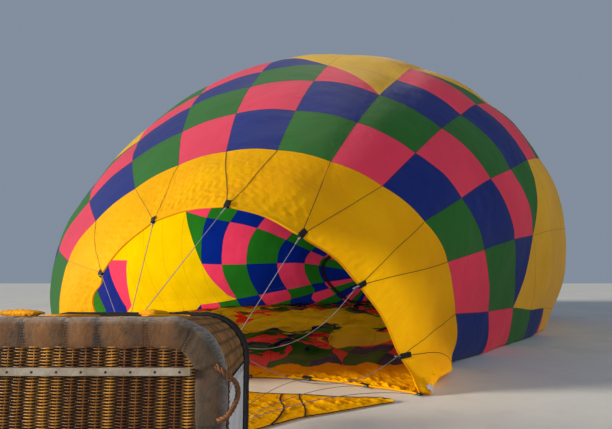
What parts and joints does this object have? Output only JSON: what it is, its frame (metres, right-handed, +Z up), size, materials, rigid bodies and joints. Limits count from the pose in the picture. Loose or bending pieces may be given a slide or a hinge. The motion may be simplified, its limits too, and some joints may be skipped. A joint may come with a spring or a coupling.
{
  "type": "hot air balloon",
  "caption": "Hot air balloon lying on its side during cold inflation, with basket, burner, flying wires and a chequered envelope filled with air.",
  "frame": {"origin": "centre of the footprint on the ground", "axes": "+Z up, +Y from the basket towards the crown, the envelope lying along it"},
  "size_m": [14.0022, 21.6122, 7.565],
  "materials": {
    "envelope_fabric": "satin",
    "band_fabric": "satin",
    "load_tape": "matte",
    "wicker": "matte",
    "hide": "matte",
    "padding": "matte",
    "timber": "matte",
    "panel": "matte",
    "steel": "brushed",
    "brass": "satin",
    "lever": "matte",
    "rope": "matte",
    "cylinder": "satin",
    "sleeve": "matte",
    "wire": "satin"
  },
  "bodies": {
    "balloon": {"basket_floor": "wicker", "basket_walls": "wicker", "corner_link_left_lower": "steel", "corner_link_left_upper": "steel", "corner_link_right_lower": "steel", "corner_link_right_upper": "steel", "crown_tapes": "load_tape", "envelope": "envelope_fabric", "floor_runner_1": "timber", "floor_runner_2": "timber", "floor_runner_3": "timber", "flying_wire_1": "wire", "flying_wire_10": "wire", "flying_wire_11": "wire", "flying_wire_12": "wire", "flying_wire_2": "wire", "flying_wire_3": "wire", "flying_wire_4": "wire", "flying_wire_5": "wire", "flying_wire_6": "wire", "flying_wire_7": "wire", "flying_wire_8": "wire", "flying_wire_9": "wire", "fuel_cylinder_left_lower": "cylinder", "fuel_cylinder_left_upper": "cylinder", "fuel_cylinder_right_lower": "cylinder", "fuel_cylinder_right_upper": "cylinder", "hide_border": "hide", "load_frame": "steel", "mouth_band": "band_fabric", "rim_padding": "padding", "rope_handle_left_lower": "rope", "rope_handle_left_upper": "rope", "rope_handle_right_lower": "rope", "rope_handle_right_upper": "rope", "scoop": "band_fabric", "side_panel": "panel", "upright_left_lower": "sleeve", "upright_left_upper": "sleeve", "upright_right_lower": "sleeve", "upright_right_upper": "sleeve"},
    "gimbal": {"gimbal_ring": "steel"},
    "burner": {"burner_block": "brass", "burner_can_left": "steel", "burner_can_right": "steel", "burner_coil_left": "brass", "burner_coil_right": "brass", "valve_lever_left": "lever", "valve_lever_right": "lever"},
    "vent": {"vent_panel": "envelope_fabric"}
  },
  "joints": [
    {"name": "gimbal_tilt", "type": "hinge", "parent": "balloon", "child": "gimbal", "pos_m": [-2.0594, -8.9172, 0.45], "axis": [0.9851, 0, -0.1719], "range_deg": [-15, 15]},
    {"name": "burner_tilt", "type": "hinge", "parent": "gimbal", "child": "burner", "pos_m": [-2.0594, -8.9172, 0.45], "axis": [0.1719, 0, 0.9851], "range_deg": [-15, 15]},
    {"name": "vent_slide", "type": "slide", "parent": "balloon", "child": "vent", "axis": [-0.3811, -0.9245, 0], "range_m": [0, 0.8]}
  ]
}
